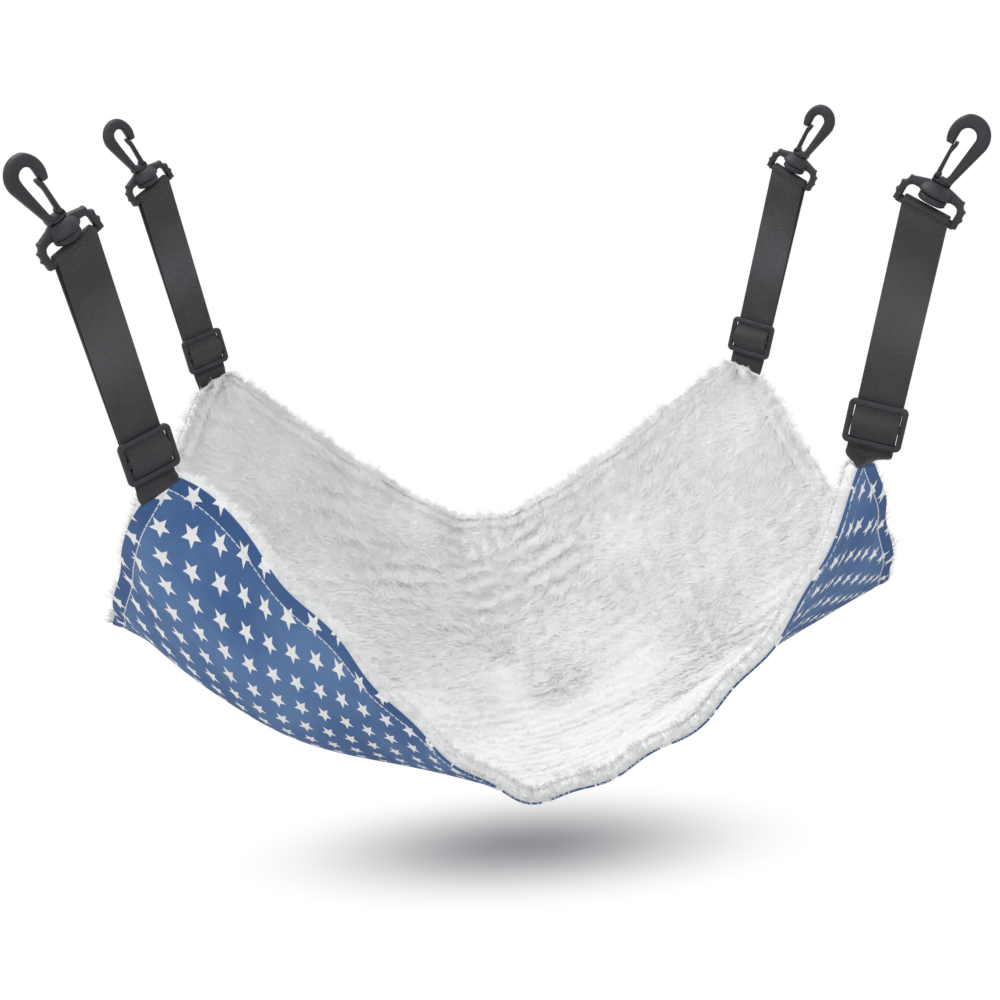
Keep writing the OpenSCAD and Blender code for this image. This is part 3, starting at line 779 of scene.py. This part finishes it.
# Webbing along a path: the outline is carried along with its own across and normal directions,
# and each end is closed by a strip of quads between its two faces
def makeWebbing(name, path, across, normal, along, frameOf, body, node, width=strap["width"]):
    outline = webbingOutline(width, strap["thick"])
    rows, columns = len(path), len(outline)
    across, normal = (np.broadcast_to(d, (rows, 3))[:, None] for d in (across, normal))
    points = path[:, None] + outline[None, :, :1] * across + outline[None, :, 1:] * normal
    flat = gridPlaces(outline[:, 0], along) * mm
    strip = np.arange(columns // 2 - 1)
    opposite = columns - 1 - strip
    cap = np.c_[strip, opposite, opposite - 1, strip + 1]
    faces = np.r_[gridFaces(rows, columns), cap[:, ::-1], cap + (rows - 1) * columns]
    return makePiece(name, points.reshape(-1, 3), faces, flat, webbingFinish, body, node, frameOf)


# One strap: straight layers whose tops are sheared to the leaning bar, a half turn over the bar,
# a hump over the slider's centre bar and the twisted tab at the corner
def makeStraps(k, c):
    frameOf = strapFrame(k)
    origin, turn = frameOf[:2]
    slope = math.tan(math.radians(ring["lean"]))
    slant = slope * strap["width"] / 2
    gap, wide, forward = strap["wrapGap"], np.array([1.0, 0, 0]), np.array([0, -1.0, 0])
    # front layer, from the fold to the bar
    share = np.linspace(0, 1, 40)
    path = np.c_[0 * share, 0 * share, foldZ + share * (barZ - gap - foldZ)]
    across = np.c_[1 + 0 * share, 0 * share, -slope * share]
    front = makeWebbing(f"strapFront_{c}", path, across, forward, path[:, 2], frameOf,
                        None, f"strap_front_{c}")
    low, high = (origin + turn @ np.array([0, 0, z]) for z in (foldZ, barZ))
    low * mm
    high * mm
    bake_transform(front)
    # half turn over the bar
    middle = ring["barRadius"] + gap + strap["thick"] / 2
    bend = np.linspace(0, np.pi, 25)
    normal = np.c_[0 * bend, -np.cos(bend), np.sin(bend)]
    makeWebbing(f"strapLoop_{c}", middle * normal, wide, normal, bend * middle + barZ, ringFrame(k),
                f"strap_end_{c}", f"strap_loop_{c}", loopWidth)
    # layer that comes back down to the slider, in a long straight part and a top that shears to the leaning
    # bar
    lowY, highY = strap["thick"] + gap, 2 * barY
    back = (highY - lowY) / (barZ - slant - sliderZ)
    rise = barZ - gap - sliderZ
    straight = rise - 2 * slant
    normal = unit(np.array([0, 1.0, -back]))
    layers = (("strapReturn", 0, straight, 40, 0), ("strapReturnTop", straight, rise, 9, slope))
    for name, first, last, rows, tilt in layers:
        share = np.linspace(0, 1, rows)
        z = first + share * (last - first)
        path = np.c_[0 * z, lowY + back * z, sliderZ + z]
        across = np.c_[-1 + 0 * z, tilt * back * share, tilt * share]
        layer = makeWebbing(f"{name}_{c}", path, across, normal, path[:, 2], frameOf,
                            f"strap_end_{c}", f"strap_return_{c}")
        if tilt == 0:
            top = origin + turn @ path[-1]
            turn @ np.array([0, 0, 1.0])
            top * mm
            (straight - strap["letOut"]) / straight
            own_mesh(layer)
    # hump over the slider's centre bar
    slot = (slider["height"] - 2 * slider["outerBar"] - slider["centreBar"]) / 2
    reach = slot + slider["centreBar"] / 2 - gap
    hump = (slider["thick"] + gap) / (0.5 + 0.5 * math.cos(math.pi * slider["centreBar"] / 2 / reach))
    z = np.linspace(-reach, reach, 33)
    y = -lowY - hump * (0.5 + 0.5 * np.cos(np.pi * z / reach))
    normal = unit(np.c_[0 * z, -np.gradient(z), np.gradient(y)])
    makeWebbing(f"strapWeave_{c}", np.c_[0 * z, y, sliderZ + z], wide, normal, z, frameOf,
                f"adjuster_{c}", f"strap_weave_{c}")
    # tab from the cut corner to the fold: the directions of its two ends are mixed along it
    flat = np.array([[cutStartX, halfWidth], [halfLength, cutStartY], [cutStartX, cutStartY]])
    start, end, inside = hang(*(flat * [sideX[k], sideY[k]]).T)
    local = lambda d: np.linalg.solve(turn, d)
    foot = local(hang(*flatSeams[k]) - origin + strap["sewGap"] * unit(seams[k] - inside))
    footAcross, footForward = local(unit(end - start)), local(sideY[k] * normalOf(hang, *flatSeams[k]))
    share = np.linspace(0, 1, 16)[:, None]
    ease = share * share * (3 - 2 * share)
    path = foot + share * (np.array([0, 0, foldZ - 0.1]) - foot)
    across = unit(footAcross + ease * (wide - footAcross))
    normal = unit(footForward + ease * (forward - footForward))
    makeWebbing(f"strapTab_{c}", path, across, normal, share[:, 0] * foldZ, frameOf,
                "hammock", f"strap_tab_{c}")


for k, c in enumerate(corners):
    makeStraps(k, c)
print("straps made")


# Moulded bar between two outlines of the same count: at each step a rounded oblong spans from the inner to
# the outer point, as thick as asked. A bar that isn't closed has its ends drawn together
def loft(inner, outer, thick, closed, square, sides=20):
    turn = fullTurn(sides)
    c, s = np.cos(turn), np.sin(turn)
    wide, deep = np.sign(c) * np.abs(c) ** (2 / square), np.sign(s) * np.abs(s) ** (2 / square)
    thick = np.broadcast_to(np.asarray(thick, float), (len(inner),))
    mid, half = (inner + outer) / 2, (outer - inner) / 2
    if not closed:
        steps = [0, 0, *range(len(inner)), -1, -1]
        size = np.r_[0, 0.7, np.ones(len(inner)), 0.7, 0]
        mid, half, thick = mid[steps], half[steps] * size[:, None], thick[steps] * size
    flatPoints = mid[:, None] + wide[None, :, None] * half[:, None]
    y = deep[None] * thick[:, None] / 2
    points = np.stack([flatPoints[..., 0], y, flatPoints[..., 1]], -1)
    rows = len(points)
    faces = gridFaces(rows, sides)
    if closed:
        j = np.arange(sides)
        last = (rows - 1) * sides
        faces = np.r_[faces, np.c_[last + j, last + (j + 1) % sides, (j + 1) % sides, j]]
    return points.reshape(-1, 3), faces


# Turned shape about Z: an outline of radius and height goes round, and its ends lie on the axis
def lathe(radius, height, sides=40):
    turn = fullTurn(sides)
    r, z = np.asarray(radius, float)[:, None], np.asarray(height, float)[:, None]
    points = np.stack([r * np.cos(turn), r * np.sin(turn), z + 0 * turn], -1).reshape(-1, 3)
    return points, gridFaces(len(radius), sides)


# Round bar along X with rounded ends
def barX(radius, half):
    soft = radius * 0.2
    points, faces = lathe([0, radius - soft, radius, radius, radius - soft, 0],
                          [-half, -half, soft - half, half - soft, half, half], 28)
    return points[:, [2, 0, 1]], faces


# Line of straight runs with its corners rounded by averaging over a short length
def easedLine(points, count, soften):
    p = np.asarray(points, float)
    reach = np.r_[0, np.cumsum(np.linalg.norm(np.diff(p, axis=0), axis=1))]
    where = np.linspace(0, reach[-1], count)[:, None] + np.linspace(-soften, soften, 9)
    return np.c_[np.interp(where, reach, p[:, 0]).mean(1), np.interp(where, reach, p[:, 1]).mean(1)]


# One moulded piece from several shells, placed in a corner's frame
def makeMoulded(name, shells, frameOf, body, node):
    offsets = np.cumsum([0] + [len(p) for p, f in shells])
    points = np.concatenate([p for p, f in shells])
    faces = np.concatenate([f + o for (p, f), o in zip(shells, offsets)])
    flat = points[:, [0, 2]] * mm
    return makePiece(name, points, faces, flat, plasticFinish, body, node, frameOf)


# A shell shifted by a distance along each axis
def moved(shell, x, y, z):
    return shell[0] + np.array([x, y, z]), shell[1]


# Closed outline of an oblong with round corners
def roundOblong(halfWide, halfHigh, radius, steps=10):
    turn = np.linspace(0, np.pi / 2, steps)[None] + np.arange(4)[:, None] * np.pi / 2
    middle = np.array([[1, 1], [-1, 1], [-1, -1], [1, -1]]) * [halfWide - radius, halfHigh - radius]
    return (middle[:, None] + radius * np.stack([np.cos(turn), np.sin(turn)], -1)).reshape(-1, 2)


# Three-bar slider: a frame between a round-cornered outside and the window, and the centre bar
def sliderShells():
    inWide = strap["width"] / 2 + slider["slotGap"]
    high = slider["height"] / 2
    outer = roundOblong(inWide + slider["side"], high, slider["round"])
    inner = roundOblong(inWide, high - slider["outerBar"], slider["slotRound"])
    frameShell = loft(inner, outer, slider["thick"], True, 3.2)
    x = np.linspace(-inWide - 0.6, inWide + 0.6, 9)
    bar = slider["centreBar"] / 2
    centre = loft(np.c_[x, 0 * x - bar], np.c_[x, 0 * x + bar], slider["thick"], False, 3.0)
    y = -(strap["thick"] / 2 + strap["wrapGap"]) - slider["thick"] / 2
    return [moved(frameShell, 0, y, sliderZ), moved(centre, 0, y, sliderZ)]


# D-shaped ring: each half goes from its leg's foot over a knuckled shoulder into the boss,
# which is bored for the stem
def ringShells():
    wide, leg, window = loopWidth / 2 + ring["legGap"], ring["leg"], ring["window"]
    top, out, shoulder, crest = window + ring["top"], wide + leg, window - leg / 2, window + leg
    stop = hook["stem"] + 1.2
    innerSide = [[wide, -1.4], [wide, shoulder], [wide - leg / 2, window], [stop, window]]
    outerSide = [[out, -1.4], [out, shoulder], [wide, crest], [ring["bossTop"], top - 0.4], [stop, top - 0.3]]
    count = 71
    inner, outer = easedLine(innerSide, count, 1.6), easedLine(outerSide, count, 1.2)
    share = np.linspace(0, 1, count)
    knuckle = sum(np.exp(-((share - place) / ring["knuckleReach"]) ** 2) for place in ring["knuckles"])
    outer = outer + ring["knuckle"] * knuckle[:, None] * unit(outer - inner)
    points, faces = loft(inner, outer, ring["thick"], False, 3.4)
    b, t, bore = ring["boss"], ring["bossTop"], hook["stem"] + ring["boreGap"]
    boss = lathe([bore, b - 0.7, b, b, (b + t) / 2 + 0.5, t, t - 0.9, bore, bore],
                 [window, window, window + 0.7, window + 1.6, window + ring["top"] * 0.62,
                  top - 0.9, top, top, window])
    bar = barX(ring["barRadius"], wide + leg * 0.6)
    return [(points, faces), (points * [-1, 1, 1], faces[:, ::-1]), bar, boss]


baseZ = ring["window"] + ring["top"] + hook["turnGap"]
rootZ = baseZ + hook["baseHeight"]
footZ = rootZ + hook["foot"]
seatZ = footZ + hook["eyeLength"]
noseZ = seatZ - hook["nose"]
rootX = hook["baseWidth"] / 2 - hook["root"] - hook["gateGap"]


# Snap hook: spine, crown and nose between the eye and the outside, on a base with a collar, stem and head
def hookShells():
    eye, crown, half, foot = hook["eye"], hook["eye"] + hook["wall"], hook["baseWidth"] / 2, hook["foot"]
    noseX, noseHigh = eye + hook["noseEnd"], hook["nose"]
    # where the spine's outside touches the crown
    away = np.array([-half, seatZ - rootZ])
    far = np.linalg.norm(away)
    lean = math.atan2(away[1], away[0]) - math.asin(crown / far)
    run = math.sqrt(far ** 2 - crown ** 2)
    touch = np.array([half, rootZ]) + run * np.array([math.cos(lean), math.sin(lean)])
    first = math.atan2(touch[1] - seatZ, touch[0])
    bend = np.linspace(0, math.pi, 34)
    start = rootZ - 2
    # the crown's circle, cut by a second circle that thins the nose
    shift = crown / 4
    turn = np.linspace(first, math.pi + math.atan2(noseHigh, noseX), 56)
    cutRadius = math.hypot(noseX + shift, noseHigh)
    cut = shift * np.cos(turn) + np.sqrt(cutRadius ** 2 - (shift * np.sin(turn)) ** 2)
    reach = np.minimum(crown, cut)
    outer = np.r_[[[half - 0.3, start]], np.c_[reach * np.cos(turn), seatZ + reach * np.sin(turn)]]
    inner = np.r_[[[foot * 0.2, start], [foot * 0.75, footZ - foot * 0.5], [foot, footZ]],
                  np.c_[eye * np.cos(bend), seatZ + eye * np.sin(bend)], [[-eye, noseZ]]]
    # both lines are walked by their own share of length, so that the bar stays square to the hook
    arm = loft(easedLine(inner, 110, 0.3), easedLine(outer, 110, 0.5), hook["thick"], False, 3.0, 24)
    # the block under the eye is hollowed for the gate's root
    x = np.linspace(-half, half - 0.2, 40)
    hollow = np.maximum((hook["root"] + hook["gateGap"]) ** 2 - (x + rootX) ** 2, 0)
    base = loft(np.c_[x, 0 * x + baseZ], np.c_[x, rootZ - np.sqrt(hollow)], hook["thick"], False, 3.4)
    headZ = ring["window"] - hook["turnGap"] - hook["headHeight"]
    h, t, c, collarZ = hook["head"], hook["headHeight"], hook["collar"], baseZ + hook["collarHeight"]
    stem = lathe(
        [0, h * 0.55, h * 0.85, h, h, h - 0.8, hook["stem"], hook["stem"], c - 0.4, c, c, c - 0.6, 0],
        [headZ - 0.2, headZ, headZ + 0.35, headZ + 1.1, headZ + t - 0.8, headZ + t, headZ + t,
         baseZ, baseZ, baseZ + 0.3, collarZ - 0.3, collarZ, collarZ])
    return [arm, base, stem]


# Gate: a springy tongue from its round root to the tip behind the nose
def gateShells():
    tipX, tipZ, neck = -hook["eye"] + hook["gateGap"], noseZ + hook["nose"] / 3, noseZ - hook["gateGap"]
    root, thick = hook["root"], hook["gateThick"]
    outerLine = [[-rootX - root, rootZ], [tipX - thick / 2, neck - hook["gateGap"]],
                 [tipX, neck], [tipX, tipZ]]
    innerLine = [[-rootX + root / 2, rootZ], [tipX + thick / 2, neck - 2 * thick],
                 [tipX + thick, neck], [tipX + thick, tipZ]]
    tongue = loft(easedLine(outerLine, 48, 0.5), easedLine(innerLine, 48, 0.9), hook["gateWidth"], False, 3.4)
    points, faces = lathe(np.array([0, 0.85, 1, 1, 0.85, 0]) * root,
                          np.array([-1, -1, -0.9, 0.9, 1, 1]) * hook["gateWidth"] / 2, 24)
    return [tongue, moved((points[:, [0, 2, 1]], faces[:, ::-1]), -rootX, 0, rootZ)]


for k, c in enumerate(corners):
    for name, shells, frameOf, body, node in (
            ("slider", sliderShells, strapFrame, "adjuster", "slider"),
            ("swivelRing", ringShells, ringFrame, "swivel_ring", "ring"),
            ("snapHook", hookShells, ringFrame, "snap_hook", "hook"),
            ("hookGate", gateShells, ringFrame, "hook_gate", "gate")):
        makeMoulded(f"{name}_{c}", shells(), frameOf(k), f"{body}_{c}", f"{node}_{c}")
print("hardware made")


studio = {
    # painted shadow: the floor's colour is darkened and warmed to deepen the shadow and take out its blue
    # cast, and the keys after it give the middle, width and depth of the ellipse in which the floor shows
    # before it turns white
    "floorHeight": -0.075, "floorSize": 14.0, "floorColour": (0.68, 0.67, 0.645, 1),
    "shadowWide": 0.2, "shadowDeep": 0.09, "shadowMiddle": (0.008, -0.022), "shadowFrom": 0.0,
    "worldStrength": 0.84,
    "lamps": [  # name, place, aims at, size, watts
        ("topLamp", (-0.6, 0.25, 1.75), (0, 0, 0.1), 1.2, 13.5),
        ("frontLamp", (-0.4, -2.0, 0.9), (0, 0, 0.15), 1.2, 5.0),
    ],
}


# Pale floor that turns to plain white for the camera away from the object, so that no horizon shows. It is
# also a painted shadow: the floor shows only inside a small ellipse under the object and fades to white
# towards the ellipse's edge, which sets the shadow's size and softness. Inside the ellipse the floor takes
# the real shadow as well
def makeStudio():
    f = Finish("paintedShadowFloor")
    x, y = f.parts(f.place())
    # painted shadow: the floor turns smoothly to plain white away from the middle of the ellipse
    middleX, middleY = studio["shadowMiddle"]
    across, deep = (x - middleX) / studio["shadowWide"], (y - middleY) / studio["shadowDeep"]
    far = ((across * across + deep * deep) ** 0.5).ramp(studio["shadowFrom"], 1.0)
    seen = f.node("LightPath")
    matt = f.node("BsdfDiffuse", {"Color": studio["floorColour"]})
    white = f.node("Emission", {"Color": (1, 1, 1, 1), "Strength": 1.0})
    f.node("OutputMaterial", {0: f.node("MixShader", {0: far * seen, 1: matt, 2: white})})
    half = studio["floorSize"] / 2 * 1000
    square = np.array([[-half, -half, 0], [half, -half, 0], [half, half, 0], [-half, half, 0]])
    raised = square + [0, 0, studio["floorHeight"] * 1000]
    makePiece("floor", raised, np.array([[0, 1, 2, 3]]), square[:, :2] * mm, f.owner, None)
    world = Finish("studioWorld", "worlds")
    bpy.context.scene.world = world.owner
    sky = world.node("Background", {"Color": (1, 1, 1, 1), "Strength": studio["worldStrength"]})
    shown = world.node("Background", {"Color": (1, 1, 1, 1), "Strength": 1.0})
    seen = world.node("LightPath")
    world.node("OutputWorld", {0: world.node("MixShader", {0: seen, 1: sky, 2: shown})})
    for name, place, aim, size, watts in studio["lamps"]:
        data = bpy.data.lights.new(name, "AREA")
        data.shape, data.size, data.energy = "DISK", size, watts
        back = unit(np.array(place) - np.array(aim))
        side = unit(np.cross([0, 1, 0.001], back))
        putInScene(bpy.data.objects.new(name, data), np.c_[side, np.cross(back, side), back], place)
    bpy.context.scene.view_settings.view_transform = "Standard"


makeStudio()
print("studio lit")
